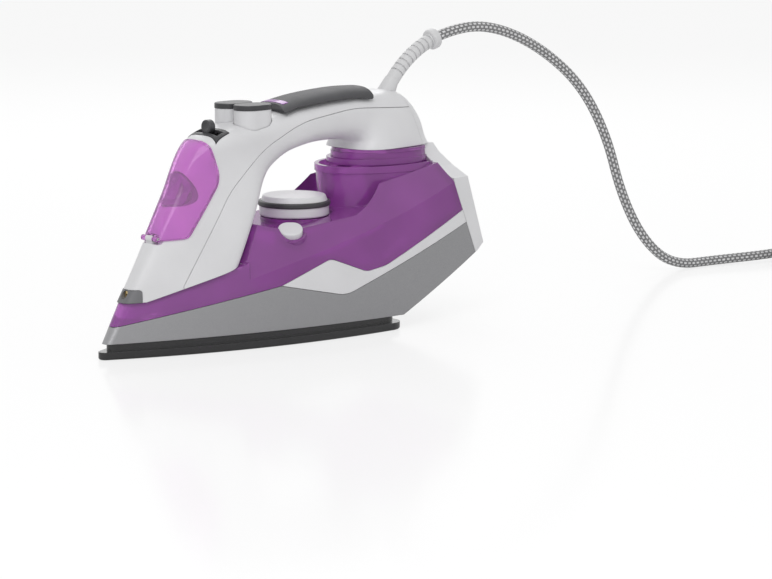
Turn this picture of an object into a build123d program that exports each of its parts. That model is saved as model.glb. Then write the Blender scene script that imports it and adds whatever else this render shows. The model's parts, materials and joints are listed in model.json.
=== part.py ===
"""Steam iron as an assembly of separate pieces.

Frame, in millimetres: the nose points to -X, the heel to +X, up is +Z, and the
soleplate's face lies on Z=0 below the middle of the length. Each piece is
written to parts/ under its own name.
"""
from build123d import *
from functools import lru_cache
import math
import os

# Overall size
LENGTH = 292.0
NOSE_X = -LENGTH / 2
HEEL_X = LENGTH / 2
SEAM = 0.3
FINE_SEAM = 0.12
RUN = 0.4
ACROSS = 90.0

# Soleplate: rim on the floor, neck above it, casting inside the skirt
SOLE_REAR_X = 71.5
SOLE_MID_HALF = 40.0
SOLE_REAR_HALF = 49.5
RIM_TOP_Z = 5.0
NECK_INSET = 4.0
CASTING_TOP_Z = 18.5
HEATER_RADIUS = 3.2
COVER_TOP_Z = 20.0
STEAM_HOLE_RADIUS = 1.6

# Lower body: a leaning wedge between two outlines seen from above
BODY_LOW_Z = 9.7
BODY_LOW_NOSE_X = -143.6
BODY_LOW_REAR_X = 162.0
BODY_LOW_MID_HALF = 45.0
BODY_LOW_REAR_HALF = 46.5
BODY_LOW_NOSE_ROUND = 5.0
BODY_HIGH_Z = 120.0
BODY_HIGH_NOSE_X = -84.6
BODY_HIGH_REAR_X = 131.0
BODY_HIGH_MID_HALF = 41.0
BODY_HIGH_REAR_HALF = 42.5
BODY_HIGH_NOSE_ROUND = 14.0
BODY_REAR_ROUND = 6.0
NOSE_LEAN = 1.6
WALL = 3.0
SHELL = 3.2

# Side view corners (X, Z, round) that the lower shells share
SKIRT_TOP_NOSE = (-160.0, 16.2, 0.0)
TRIM_TIP = (-27.0, 38.0, 0.0)
SKIRT_DIP = (21.0, 27.6, 22.0)
SKIRT_TOP_REAR = (129.3, 65.2, 0.0)
TRIM_CREST = (10.0, 52.5, 9.0)
TRIM_VALLEY = (38.0, 41.6, 12.0)
TRIM_RISE = (54.0, 44.0, 30.0)
TRIM_REAR = (126.0, 73.9, 0.0)
COLUMN_HEEL = (-48.6, 54.4, 6.0)
COLUMN_BEND = (-117.0, 34.6, 0.0)
COLUMN_NOSE = (-160.0, 33.4, 0.0)
COLUMN_TOP = (-14.0, 117.0, 0.0)
BACK_TOP = (118.0, 145.0)
BACK_LOW = (HEEL_X, 50.0)
HEEL_CORNER = (139.5, 45.0)
UNDERSIDE_START = (68.0, BODY_LOW_Z)
COVER_TOP_EDGE = (103.0, 150.0)
COVER_MID_EDGE = (119.0, 92.0)
COVER_LOW_EDGE = (137.5, 44.0)

# Tank: deck crease, dome, collar steps (low Z, high Z, middle X, half length, half width),
# scoop and seat for the dial
DECK_POINT = (-27.0, 0.0, 40.0)
DECK_SLOPE = 19.6
TOP_POINT = (-30.0, 0.0, 81.0)
TOP_SLOPE = 9.6
COLLAR_TOP_Z = 117.0
COLLAR_STEPS = [(70.0, 102.0, 88.0, 44.5, 33.0), (102.0, 106.5, 89.0, 47.0, 33.6),
                (106.5, 110.5, 90.5, 38.5, 29.2), (110.5, 114.5, 91.5, 35.5, 28.4),
                (114.5, COLLAR_TOP_Z, 92.0, 34.5, 29.2)]
SCOOP_X = 36.0
SCOOP_LENGTH = 50.0
SCOOP_HALF = 39.0
SCOOP_FRONT_Z = 72.0
SCOOP_SLOPE = 7.1
SCOOP_COLUMN_Z = 83.0
DIAL_X = 15.8
DIAL_SEAT_Z = 76.0
DIAL_RADIUS = 23.6
SHAFT_RADIUS = 3.0
SHAFT_RUN = 0.06

# Handle arch: spokes from the outer edge to the hand gap (X, Z at both ends),
# half width at both ends and how square the section is
ARCH_SPOKES = [
    ((-137.0, 22.0), (-57.0, 43.5), 6.0, 35.0, 4.6),
    ((-117.5, 52.0), (-45.0, 63.0), 8.4, 33.0, 4.2),
    ((-98.6, 84.5), (-31.8, 86.5), 10.6, 30.0, 3.7),
    ((-87.2, 105.0), (-23.9, 100.0), 12.2, 26.0, 3.3),
    ((-76.8, 125.0), (-16.8, 109.0), 14.6, 22.5, 3.1),
    ((-61.5, 135.5), (-8.5, 115.5), 19.0, 20.8, 3.3),
    ((-38.0, 141.3), (1.0, 120.0), 20.8, 20.2, 3.2),
    ((-10.0, 146.2), (12.5, 122.6), 20.4, 19.8, 3.0),
    ((18.0, 150.8), (26.0, 124.2), 19.2, 19.0, 2.8),
    ((48.0, 153.2), (44.5, 124.6), 18.8, 19.0, 2.8),
    ((78.0, 153.8), (54.5, 124.2), 18.2, 20.5, 2.8),
    ((104.0, 152.4), (59.5, 122.4), 16.0, 25.0, 2.9),
    ((119.0, 136.0), (59.5, 120.0), 18.0, 29.0, 2.9),
    ((131.0, 112.0), (57.0, 115.5), 23.0, 31.0, 2.9),
]
RIB_STEPS = 18
ARCH_RIBS = 24
SEAM_LINE = [(-93.5, 43.0, 0.0), (-55.0, 100.0, 70.0), (-25.0, 126.0, 60.0), (5.0, 139.5, 90.0),
             (53.0, 145.5, 120.0), (112.0, 142.0, 0.0)]

# Grip pad, pilot lens
GRIP_RISE = 5.2
GRIP_OUTLINE = [(-9.5, 145.6, 1.5), (4.0, 149.2, 12.0), (34.0, 151.6, 60.0), (56.0, 152.2, 30.0),
                (71.5, 149.9, 3.0), (70.5, 166.0, 0.0), (-4.0, 166.0, 0.0), (-5.5, 151.0, 2.0)]
LENS_FRONT_X = -3.0
LENS_REAR_X = 1.6
LENS_HALF = 11.0
LAMP_X = -0.7
LAMP_RADIUS = 2.2

# Buttons and pumps
BUTTON_X = -27.5
BUTTON_Y = 9.6
BUTTON_LENGTH = 26.0
BUTTON_WIDTH = 17.8
BUTTON_TOP_Z = 153.3
BUTTON_CAP = 3.4
BUTTON_FOOT_Z = 133.0
BUTTON_TRAVEL = 4.0
PUMP_X = -33.5
PUMP_RADIUS = 5.5
PUMP_LOW_Z = 100.0
PUMP_TOP_Z = 122.0
SHELF_LOW_Z = 99.0
SHELF_TOP_Z = 103.0
PISTON_RADIUS = 2.5
SPRING_WIRE = 0.5
SPRING_COIL_RADIUS = 4.6
SPRING_TURNS = 5

# Steam lever
LEVER_X = -56.5
LEVER_AXIS_Z = 112.0
LEVER_TAB_RADIUS = 4.7
LEVER_TAB_Z = 140.0
SLOT_FRONT_X = -62.0
SLOT_REAR_X = -51.0
SLOT_HALF = 14.2
SLOT_REACH = 11.8
LEVER_PIN_RADIUS = 1.5
ROD_RADIUS = 1.5
ROD_Y = 4.0
ROD_TOP_Z = 105.7
ROD_LOW_Z = 33.0

# Filler door, plug and inlet
DOOR_OUTLINE = [(-125.0, 70.5, 0.0), (-86.5, 72.5, 6.0), (-60.5, 108.0, 16.0), (-66.0, 129.2, 6.0),
                (-72.0, 140.0, 0.0), (-125.0, 140.0, 0.0)]
DOOR_THICK = 2.4
DOOR_PROUD = 0.8
HINGE_X = -104.5
HINGE_Z = 73.0
HINGE_PIN_RADIUS = 0.9
HINGE_ROOM = 3.6
KNUCKLE_RADIUS = 1.9
KNUCKLE_LENGTH = 4.0
LUG_HALF = 3.2
PLUG_X = -86.0
PLUG_Z = 102.0
PLUG_RADIUS = 11.0
FRONT_SLOPE = 28.0

# Spray nozzle
NOZZLE_Z = 39.2
NOZZLE_OUTLINE = [(-150.0, 33.7, 0.0), (-119.5, 34.5, 1.0), (-118.3, 42.4, 1.5), (-150.0, 41.8, 0.0)]

# Self-clean button
CLEAN_AT = (-12.0, -28.0, 70.0)
CLEAN_NORMAL = (-0.33, -0.42, 0.845)
CLEAN_LENGTH = 16.0
CLEAN_WIDTH = 13.0
CLEAN_RISE = 4.0
CLEAN_DEPTH = 5.0
CLEAN_TRAVEL = 2.5

# Rear cover screws: height on the rear face and Y
COVER_SCREWS = [(106.0, 0.0), (62.0, -30.0), (62.0, 30.0)]
SCREW_HEAD_RADIUS = 3.6

# Cord sleeve, swivel ball and cord
SWIVEL_X = 98.0
BALL_Z = 145.8
BALL_RADIUS = 9.4
SOCKET_MOUTH = 8.4
SLEEVE_START = (98.3, 0.0, 151.8)
SLEEVE_MID = (114.8, 0.0, 170.4)
SLEEVE_END = (144.0, 0.0, 185.9)
SLEEVE_RADIUS = 4.8
SLEEVE_FOOT_RADIUS = 6.6
BEAD_RADIUS = 7.1
SLEEVE_GROOVES = 9
CORD_RADIUS = 3.5

# Cord route: over its arch, down to the floor and along it to the coil
CORD_ROUTE = [SLEEVE_END, (167.0, 0.0, 192.3), (203.0, 0.0, 190.0), (246.0, 0.0, 173.5),
              (287.0, -1.0, 145.0), (314.0, -2.0, 106.0), (329.0, -3.0, 62.0), (351.0, -5.0, 26.0),
              (381.0, -8.0, CORD_RADIUS), (424.0, -13.0, CORD_RADIUS), (462.0, -25.5, 4.5),
              (494.0, -25.5, 4.5)]

# Coil of the put-away cord: spirals in below, climbs a layer, spirals out above
COIL_CENTRE = (501.0, -75.0)
COIL_LOW_Z = 4.5
COIL_LAYER = 8.0
COIL_PITCH = 8.4
COIL_OUTER = 49.5
COIL_TURNS_IN = 2.5
COIL_TURNS_OUT = 2.5
COIL_STRAIGHT = 7.0
TAIL_LENGTH = 58.0
TIE_WIDTH = 9.0
TIE_THICK = 0.7
COIL_DIP = 1.5
PLUG_BODY = (38.0, 34.0, 25.0)
PLUG_PIN_RADIUS = 2.4
PLUG_PIN_LENGTH = 19.0
PLUG_PIN_SPREAD = 19.0

# Outlines and heights that follow from the above
NECK_TOP_Z = BODY_LOW_Z - SEAM
TANK_OUTLINE = [SKIRT_TOP_NOSE, TRIM_TIP, TRIM_CREST, TRIM_VALLEY, TRIM_RISE, TRIM_REAR, COVER_MID_EDGE,
                (112.1, COLLAR_TOP_Z), COLUMN_TOP, COLUMN_HEEL, COLUMN_BEND, COLUMN_NOSE]
BEHIND_COVER = [(100.0, 161.0), COVER_TOP_EDGE, COVER_MID_EDGE, COVER_LOW_EDGE, (137.5, 0.0), (220.0, 0.0),
                (220.0, 170.0)]
UNDER_HEEL = [UNDERSIDE_START, HEEL_CORNER, BACK_LOW, (220.0, 100.0), (220.0, -20.0), (68.0, -20.0)]
BACK_LEAN = (BACK_LOW[0] - BACK_TOP[0]) / (BACK_TOP[1] - BACK_LOW[1])


def plan(nose_x, rear_x, mid_half, rear_half, nose_round, rear_round):
    """Pointed outline seen from above, symmetric about Y=0, its rounded nose at nose_x."""
    mid_x = (nose_x + rear_x) / 2
    lean = ThreePointArc((nose_x, 0), (mid_x, mid_half), (rear_x, rear_half)) % 0
    point_x = nose_x - nose_round * (math.hypot(lean.X, lean.Y) / lean.Y - 1)
    near = ThreePointArc((point_x, 0), (mid_x, -mid_half), (rear_x, -rear_half))
    back = Line((rear_x, -rear_half), (rear_x, rear_half))
    far = ThreePointArc((rear_x, rear_half), (mid_x, mid_half), (point_x, 0))
    outline = make_face([near, back, far])
    outline = fillet(outline.vertices().sort_by(Axis.X)[0], nose_round)
    return fillet(outline.vertices().sort_by(Axis.X)[-2:], rear_round)


def side_slab(corners, shrink=0.0, half=ACROSS):
    """Solid across Y whose outline in side view has the given (X, Z, round) corners."""
    points = [corner[:2] for corner in corners]
    rounds = [corner[2] if len(corner) > 2 else 0.0 for corner in corners]
    face = make_face(FilletPolyline(*points, radius=rounds, close=True))
    if shrink:
        face = offset(face, amount=-shrink, kind=Kind.INTERSECTION)
    return extrude(Plane.XZ * face, amount=half, both=True)


def block(low, high):
    """Box between two opposite corners."""
    size = [b - a for a, b in zip(low, high)]
    return Pos(*low) * Box(*size, align=(Align.MIN, Align.MIN, Align.MIN))


def upright(x, y, low_z, high_z, radius):
    """Vertical cylinder."""
    bottom = (Align.CENTER, Align.CENTER, Align.MIN)
    return Pos(x, y, low_z) * Cylinder(radius, high_z - low_z, align=bottom)


def along_x(low_x, high_x, y, z, radius):
    """Cylinder lying along X."""
    return Pos((low_x + high_x) / 2, y, z) * Rot(0, 90, 0) * Cylinder(radius, high_x - low_x)


def along_y(x, low_y, high_y, z, radius):
    """Cylinder lying along Y."""
    return Pos(x, (low_y + high_y) / 2, z) * Rot(90, 0, 0) * Cylinder(radius, high_y - low_y)


def stadium(length, width, low_z, high_z):
    """Upright rounded bar, long in X, centred on the origin."""
    return Pos(0, 0, low_z) * extrude(SlotOverall(length, width), high_z - low_z)


def tube(points, radius, name):
    """Round tube on straight runs joined by tangent arcs; prints how it was bent."""
    corners = [Vector(point) for point in points]
    radii = []
    for before, corner, after in zip(corners, corners[1:], corners[2:]):
        turn = math.radians((corner - before).get_angle(after - corner))
        run = min((corner - before).length, (after - corner).length)
        radii.append(0.45 * run / math.tan(turn / 2))
    path = FilletPolyline(*points, radius=radii)
    start = Plane(origin=points[0], z_dir=corners[1] - corners[0])
    solid = sweep(start * Circle(radius), path=path)
    ratio = solid.volume / (math.pi * radius ** 2 * path.length)
    print(f"{name}: length {path.length:.1f}, least radius {min(radii):.1f}, volume ratio {ratio:.4f}")
    return solid


def biarcs(points, tangents):
    """Edges of tangent arcs, two between each pair of points with their directions."""
    edges = []
    places = [Vector(point) for point in points]
    heads = [Vector(tangent).normalized() for tangent in tangents]
    for start, end, go, come in zip(places, places[1:], heads, heads[1:]):
        gap = end - start
        both = go + come
        near_square = 2 * (1 - go.dot(come))
        reach = gap.dot(both)
        if near_square < 1e-9:
            arm = gap.dot(gap) / (4 * gap.dot(come))
        else:
            arm = (-reach + math.sqrt(reach ** 2 + near_square * gap.dot(gap))) / near_square
        joint = (start + end + (go - come) * arm) * 0.5
        for tip, lead, other in ((start, go, joint), (end, come * -1, joint)):
            chord = other - tip
            if lead.cross(chord).length < 1e-6 * chord.length:
                edge = Edge.make_line(tip, other)
            else:
                edge = Edge.make_tangent_arc(tip, lead, other)
            edges.append(edge)
    return edges


def wound(points, tangents, radius, name):
    """One unbroken tube swept on tangent arcs; prints its least gap to itself."""
    edges = biarcs(points, tangents)
    path = Wire(edges)
    start = Plane(origin=points[0], z_dir=tangents[0])
    solid = sweep(start * Circle(radius), path=path)
    count = int(path.length / (radius * 0.8))
    spots = [path @ (step / count) for step in range(count + 1)]
    skip = int(8 * radius / (path.length / count)) + 1
    gaps = []
    for index, spot in enumerate(spots):
        gaps.extend((spot - other).length - 2 * radius for other in spots[index + skip:])
    ratio = solid.volume / (math.pi * radius ** 2 * path.length)
    print(f"{name}: length {path.length:.1f}, least self gap {min(gaps):.2f}, volume ratio {ratio:.4f}")
    return solid


def spring(x, y, low_z, high_z, coil_radius, wire, turns, name):
    """Helical spring standing on low_z, with its wire's ends cut square."""
    points = []
    tangents = []
    rise = (high_z - low_z - 2 * wire) / turns
    for quarter in range(4 * turns + 1):
        angle = math.pi / 2 * quarter
        place = (x + coil_radius * math.cos(angle), y + coil_radius * math.sin(angle),
                 low_z + wire + rise * quarter / 4)
        points.append(place)
        tangents.append((-coil_radius * math.sin(angle), coil_radius * math.cos(angle), rise / (2 * math.pi)))
    return wound(points, tangents, wire, name)


def body(inset=0.0):
    """Lower body's wedge, as one solid, with its walls moved in by the inset."""
    low = plan(BODY_LOW_NOSE_X + NOSE_LEAN * inset, BODY_LOW_REAR_X - inset, BODY_LOW_MID_HALF - inset,
               BODY_LOW_REAR_HALF - inset, BODY_LOW_NOSE_ROUND, BODY_REAR_ROUND)
    high = plan(BODY_HIGH_NOSE_X + NOSE_LEAN * inset, BODY_HIGH_REAR_X - inset, BODY_HIGH_MID_HALF - inset,
                BODY_HIGH_REAR_HALF - inset, BODY_HIGH_NOSE_ROUND, BODY_REAR_ROUND)
    return loft([Pos(0, 0, BODY_LOW_Z) * low, Pos(0, 0, BODY_HIGH_Z) * high], ruled=True)


def even_spokes(count):
    """Spokes spaced evenly along the arch, blended smoothly between the given ones."""
    rows = []
    for outer, inner, outer_half, inner_half, square in ARCH_SPOKES:
        rows.append([*outer, *inner, outer_half, inner_half, square])
    places = [0.0]
    for row, after in zip(rows, rows[1:]):
        step_x = (after[0] + after[2] - row[0] - row[2]) / 2
        step_z = (after[1] + after[3] - row[1] - row[3]) / 2
        places.append(places[-1] + math.hypot(step_x, step_z))
    slopes = []
    for index in range(len(rows)):
        low = max(index - 1, 0)
        high = min(index + 1, len(rows) - 1)
        span = places[high] - places[low]
        slopes.append([(b - a) / span for a, b in zip(rows[low], rows[high])])
    spokes = []
    for step in range(count):
        place = places[-1] * step / (count - 1)
        index = max(k for k in range(len(rows) - 1) if places[k] <= place + 1e-9)
        span = places[index + 1] - places[index]
        t = (place - places[index]) / span
        start_weight = 2 * t ** 3 - 3 * t ** 2 + 1
        leave_weight = (t ** 3 - 2 * t ** 2 + t) * span
        arrive_weight = (t ** 3 - t ** 2) * span
        mixed = []
        for a, b, leave, arrive in zip(rows[index], rows[index + 1], slopes[index], slopes[index + 1]):
            blend = start_weight * a + (1 - start_weight) * b
            mixed.append(blend + leave_weight * leave + arrive_weight * arrive)
        spokes.append(mixed)
    return spokes


def arch_rib(spoke, outer_grow, inner_grow, width_grow):
    """Near half of the handle arch's section on one spoke, as one smooth edge."""
    outer_x, outer_z, inner_x, inner_z, outer_half, inner_half, square = spoke
    reach = math.hypot(inner_x - outer_x, inner_z - outer_z)
    step_x = (inner_x - outer_x) / reach
    step_z = (inner_z - outer_z) / reach
    span = reach + outer_grow + inner_grow
    near = []
    for step in range(RIB_STEPS + 1):
        turn = math.pi * step / RIB_STEPS
        size = (abs(math.cos(turn)) ** square + abs(math.sin(turn)) ** square) ** (-1 / square)
        share = 0.5 - 0.5 * size * math.cos(turn)
        half = outer_half + (inner_half - outer_half) * share + width_grow
        travel = span * share - outer_grow
        near.append((outer_x + step_x * travel, -half * size * math.sin(turn), outer_z + step_z * travel))
    near[0] = (near[0][0], 0.0, near[0][2])
    near[-1] = (near[-1][0], 0.0, near[-1][2])
    marks = [step / RIB_STEPS for step in range(RIB_STEPS + 1)]
    leave = (0, -math.pi * (outer_half + width_grow), 0)
    turn_back = (0, math.pi * (inner_half + width_grow), 0)
    return Edge.make_spline(near, tangents=[leave, turn_back], parameters=marks, scale=False)


@lru_cache
def arch(outer_grow=0.0, inner_grow=0.0, width_grow=0.0):
    """Handle arch with its outer edge, hand gap edge and sides moved out by the growths."""
    ribs = [arch_rib(spoke, outer_grow, inner_grow, width_grow) for spoke in even_spokes(ARCH_RIBS)]
    near = Shell.make_loft([Wire([rib]) for rib in ribs]).faces()[0]
    far = mirror(near, Plane.XZ).faces()[0]
    ends = [Face(Wire([rib, mirror(rib, Plane.XZ).edges()[0]])) for rib in (ribs[0], ribs[-1])]
    return Part() + Solid(Shell([near, far, *ends]))


def back_at(z):
    """X of the flat rear face at a height."""
    return BACK_TOP[0] + (BACK_TOP[1] - z) * BACK_LEAN


def behind_back(inset=0.0):
    """Everything behind the flat rear face, moved forward by the inset."""
    return side_slab([(back_at(200) - inset, 200), (back_at(-20) - inset, -20), (260, -20), (260, 200)])


def soleplate():
    rim = extrude(plan(NOSE_X, SOLE_REAR_X, SOLE_MID_HALF, SOLE_REAR_HALF, 4.5, 11), RIM_TOP_Z)
    rim = fillet(rim.faces().sort_by(Axis.Z)[0].edges(), 1.4)
    neck = plan(NOSE_X + 1.6 * NECK_INSET, SOLE_REAR_X - NECK_INSET, SOLE_MID_HALF - NECK_INSET,
                SOLE_REAR_HALF - NECK_INSET, 4, 9)
    plate = rim + Pos(0, 0, RIM_TOP_Z) * extrude(neck, NECK_TOP_Z - RIM_TOP_Z)
    for side in (-1, 1):
        for step in range(8):
            plate -= upright(-122 + 10.5 * step, side * (5 + 3.6 * step), -1, 12, STEAM_HOLE_RADIUS)
        for step in range(4):
            plate -= upright(-92 + 13 * step, side * (3 + 3.2 * step), -1, 12, STEAM_HOLE_RADIUS)
    return Pos(NOSE_X - plate.bounding_box().min.X, 0, 0) * plate


def heater_route():
    return FilletPolyline((54, 27), (-46, 18), (-94, 0), (-46, -18), (54, -27), radius=[40, 9, 40])


def heating_element():
    route = Pos(0, 0, CASTING_TOP_Z) * heater_route()
    start = Plane(origin=route @ 0, z_dir=route % 0)
    rod = sweep(start * Circle(HEATER_RADIUS), path=route)
    for side in (-1, 1):
        rod += upright(52, side * 26.8, CASTING_TOP_Z, CASTING_TOP_Z + 8, 1.6)
    return rod


def sole_casting(heater):
    casting = Pos(0, 0, NECK_TOP_Z) * extrude(plan(-122, 58, 29, 38, 6, 10), CASTING_TOP_Z - NECK_TOP_Z)
    chamber = plan(-66, 34, 9.5, 14, 4, 5)
    casting -= Pos(0, 0, CASTING_TOP_Z - 5) * extrude(chamber, 6)
    return casting - heater


def chamber_cover():
    cover = Pos(0, 0, CASTING_TOP_Z) * extrude(plan(-76, 40, 12.0, 16.5, 5, 5), COVER_TOP_Z - CASTING_TOP_Z)
    return cover - upright(LEVER_X, ROD_Y, CASTING_TOP_Z - 1, COVER_TOP_Z + 1, 1.2)


def thermostat():
    case = block((2, -9, COVER_TOP_Z), (30, 9, 27.5))
    return case + upright(DIAL_X, 0, 27.5, 31, 4.5)


def thermal_fuse():
    return along_x(-38, -22, 0, COVER_TOP_Z + 3, 3)


def casting_screws():
    group = []
    for x, y in ((-108, 0), (48, 14), (48, -14)):
        group.append(upright(x, y, CASTING_TOP_Z, CASTING_TOP_Z + 3, 3.5))
    return Compound(children=group)


def skirt():
    outline = [(-160, -5), SKIRT_TOP_NOSE, TRIM_TIP, SKIRT_DIP, SKIRT_TOP_REAR, COVER_LOW_EDGE, (137.5, -5)]
    shell = body() & side_slab(outline, SEAM / 2)
    hollow = body(WALL) & side_slab([(-170, -5), (64, -5), (64, 12.8), (130, 46), (134, 200), (-170, 200)])
    return shell - hollow - side_slab(UNDER_HEEL)


def side_trims():
    ring = body() - body(WALL)
    outline = [TRIM_TIP, TRIM_CREST, TRIM_VALLEY, TRIM_RISE, TRIM_REAR, SKIRT_TOP_REAR, SKIRT_DIP]
    return ring & side_slab(outline, SEAM / 2)


def deck_below(drop=0.0):
    """Everything below the tank's deck plane."""
    slope = math.tan(math.radians(DECK_SLOPE))
    low_z = DECK_POINT[2] + (-200 - DECK_POINT[0]) * slope - drop
    high_z = DECK_POINT[2] + (200 - DECK_POINT[0]) * slope - drop
    return side_slab([(-200, -80), (-200, low_z), (200, high_z), (200, -80)])


def sloped_plane(point, slope):
    """Plane through a point, climbing towards the rear."""
    tilt = math.radians(slope)
    ahead = (math.cos(tilt), 0, math.sin(tilt))
    return Plane(origin=point, x_dir=ahead, z_dir=(-math.sin(tilt), 0, math.cos(tilt)))


def dome(inset=0.0):
    """Rise of the tank from its deck plane to its sloping top, and its full-width front."""
    low = plan(-132 + NOSE_LEAN * inset, 172, 43.5 - inset, 45.5 - inset, 5, 6)
    high = plan(-66 + NOSE_LEAN * inset, 166, 31.5 - inset, 31.0 - inset, 12, 6)
    deck = sloped_plane(DECK_POINT, DECK_SLOPE) * low
    top = sloped_plane(TOP_POINT, TOP_SLOPE) * high
    rise = loft([deck, top], ruled=True)
    front = block((-200, -80, 0), (COLUMN_HEEL[0], 80, 80))
    return Pos(0, 0, -inset) * rise + front


def scoop(grow=0.0):
    """Hollow round the dial, open to both sides in front, with a floor that climbs to the rear."""
    oval = Pos(SCOOP_X, 0, 40) * extrude(Ellipse(SCOOP_LENGTH + grow, SCOOP_HALF + grow), 100)
    oval += block((-60, -80, 40), (SCOOP_X, 80, 140))
    front_x = SCOOP_X - SCOOP_LENGTH
    rear_z = SCOOP_FRONT_Z + 140 * math.tan(math.radians(SCOOP_SLOPE))
    above = side_slab([(-60, SCOOP_COLUMN_Z - grow), (front_x, SCOOP_FRONT_Z - grow),
                       (front_x + 140, rear_z - grow), (front_x + 140, 200), (-60, 200)])
    return oval & above


def collar(inset=0.0):
    """Stepped oval collar below the rear column."""
    stack = None
    for low_z, high_z, middle_x, half_length, half_width in COLLAR_STEPS:
        oval = Ellipse(half_length - inset, half_width - inset)
        step = Pos(middle_x, 0, low_z) * extrude(oval, high_z - low_z)
        stack = step if stack is None else stack + step
    return stack


def clean_plane():
    return Plane(origin=CLEAN_AT, x_dir=(0.72, -0.55, -0.05), z_dir=CLEAN_NORMAL)


def water_tank():
    region = side_slab(TANK_OUTLINE, SEAM / 2)
    wedge = body() & region
    shell = (wedge & deck_below()) + (wedge & dome()) - scoop()
    shell += collar() & region & body()
    hollow_region = body(WALL) & side_slab(TANK_OUTLINE, WALL)
    hollow = (hollow_region & deck_below(WALL)) + (hollow_region & dome(WALL)) - scoop(WALL)
    hollow += collar(WALL) & hollow_region
    hollow -= upright(DIAL_X, 0, DIAL_SEAT_Z - WALL, 140, DIAL_RADIUS + 4)
    hollow -= upright(DIAL_X, 0, 20, 140, SHAFT_RADIUS + 3)
    hollow -= upright(LEVER_X, ROD_Y, 20, 140, ROD_RADIUS + 2.5)
    boss = clean_plane() * stadium(CLEAN_LENGTH + 5, CLEAN_WIDTH + 5, -12, 0)
    shell = shell - hollow + boss
    shell += upright(DIAL_X, 0, DIAL_SEAT_Z - 6, DIAL_SEAT_Z, DIAL_RADIUS - 1.0)
    shell -= upright(DIAL_X, 0, DIAL_SEAT_Z, 110, DIAL_RADIUS + 1.2)
    shell -= upright(DIAL_X, 0, 20, 140, SHAFT_RADIUS + SHAFT_RUN)
    shell -= upright(LEVER_X, ROD_Y, 20, 140, ROD_RADIUS + RUN)
    shell -= clean_plane() * stadium(CLEAN_LENGTH + 2 * RUN, CLEAN_WIDTH + 2 * RUN, -9, 20)
    return shell - floor_plate(SEAM)


def floor_plate(grow=0.0):
    """Bottom wall of the tank, inside its rim."""
    region = side_slab(TANK_OUTLINE, SEAM / 2)
    strip = region - Pos(0, 0, WALL) * region
    plate = strip & body(2 * WALL - grow) & block((-108 - grow, -80, 0), (100 + grow, 80, 80))
    plate -= upright(DIAL_X, 0, 0, 140, SHAFT_RADIUS + 3 + SEAM - grow)
    return plate - upright(LEVER_X, ROD_Y, 0, 140, ROD_RADIUS + 2.5 + SEAM - grow)


def white_region():
    """Side view region of the handle arch above the tank."""
    gap = SEAM / 2
    return side_slab([(COLUMN_NOSE[0], COLUMN_NOSE[1] + gap), (COLUMN_BEND[0], COLUMN_BEND[1] + gap),
                      (-40, 56.9 + gap), (20, 100), (30, COLLAR_TOP_Z + gap), (150, COLLAR_TOP_Z + gap),
                      (150, 200), (-160, 200)])


def below_seam(shrink=0.0):
    """Side view region below the handle's seam line."""
    return side_slab(SEAM_LINE + [(112, 0), (-93.5, 0)], shrink)


def cord_socket(grow=RUN):
    """Round room for the swivel ball and the sleeve's foot."""
    mouth = upright(SWIVEL_X, 0, BALL_Z + 2, 170, SOCKET_MOUTH)
    return Pos(SWIVEL_X, 0, BALL_Z) * Sphere(BALL_RADIUS + grow) + mouth


def button_well():
    """Room in the top cover for both buttons."""
    well = None
    for side in (-1, 1):
        hole = stadium(BUTTON_LENGTH + 2 * RUN, BUTTON_WIDTH + 2 * RUN, 120, 170)
        hole = Pos(BUTTON_X, side * BUTTON_Y, 0) * hole
        well = hole if well is None else well + hole
    return well


def front_plane(x, z):
    """Plane on the front slope, its normal pointing out of the column."""
    slope = math.radians(FRONT_SLOPE)
    return Plane(origin=(x, 0, z), x_dir=(0, -1, 0), z_dir=(-math.cos(slope), 0, math.sin(slope)))


def door_pocket():
    """Room for the filler door, its hinge and its plug in the front column."""
    floor_drop = DOOR_PROUD - DOOR_THICK - SEAM
    pocket = (arch(3, 0, 3) & side_slab(DOOR_OUTLINE)) - arch(floor_drop, 0, floor_drop)
    pocket += along_y(HINGE_X, -15, 15, HINGE_Z, HINGE_ROOM)
    return pocket + front_plane(PLUG_X, PLUG_Z) * Cylinder(PLUG_RADIUS + 1.4, 24)


def hinge_lug():
    """Lug in the middle of the door's lower edge that holds its pin."""
    lug = along_y(HINGE_X, -LUG_HALF, LUG_HALF, HINGE_Z, KNUCKLE_RADIUS)
    lug += block((HINGE_X - 1, -LUG_HALF, HINGE_Z - 9), (HINGE_X + 4, LUG_HALF, HINGE_Z))
    return lug - along_y(HINGE_X, -30, 30, HINGE_Z, HINGE_PIN_RADIUS)


def slot_band(grow):
    """Part of the column's top face that the lever's slot plate covers."""
    return block((SLOT_FRONT_X - grow, -SLOT_HALF - grow, 129), (SLOT_REAR_X + grow, SLOT_HALF + grow, 160))


def handle_shells():
    """White top cover, lower shell and rear cap, parted from each other, hollow inside."""
    outer = arch() & white_region()
    hollow = arch(-SHELL, -SHELL, -SHELL)
    cap = (outer & side_slab(BEHIND_COVER, FINE_SEAM / 2)) - behind_back()
    cap -= hollow - behind_back(WALL)
    cap -= cord_socket()
    shell = outer - side_slab(BEHIND_COVER, -FINE_SEAM / 2) - hollow
    shell -= cord_socket()
    lower = (shell & below_seam(SEAM / 2)) - button_well()
    top = shell - below_seam(-SEAM / 2) - side_slab(NOZZLE_OUTLINE) - button_well() - slot_band(SEAM)
    top = top - door_pocket() + hinge_lug()
    return top, lower, cap


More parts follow.
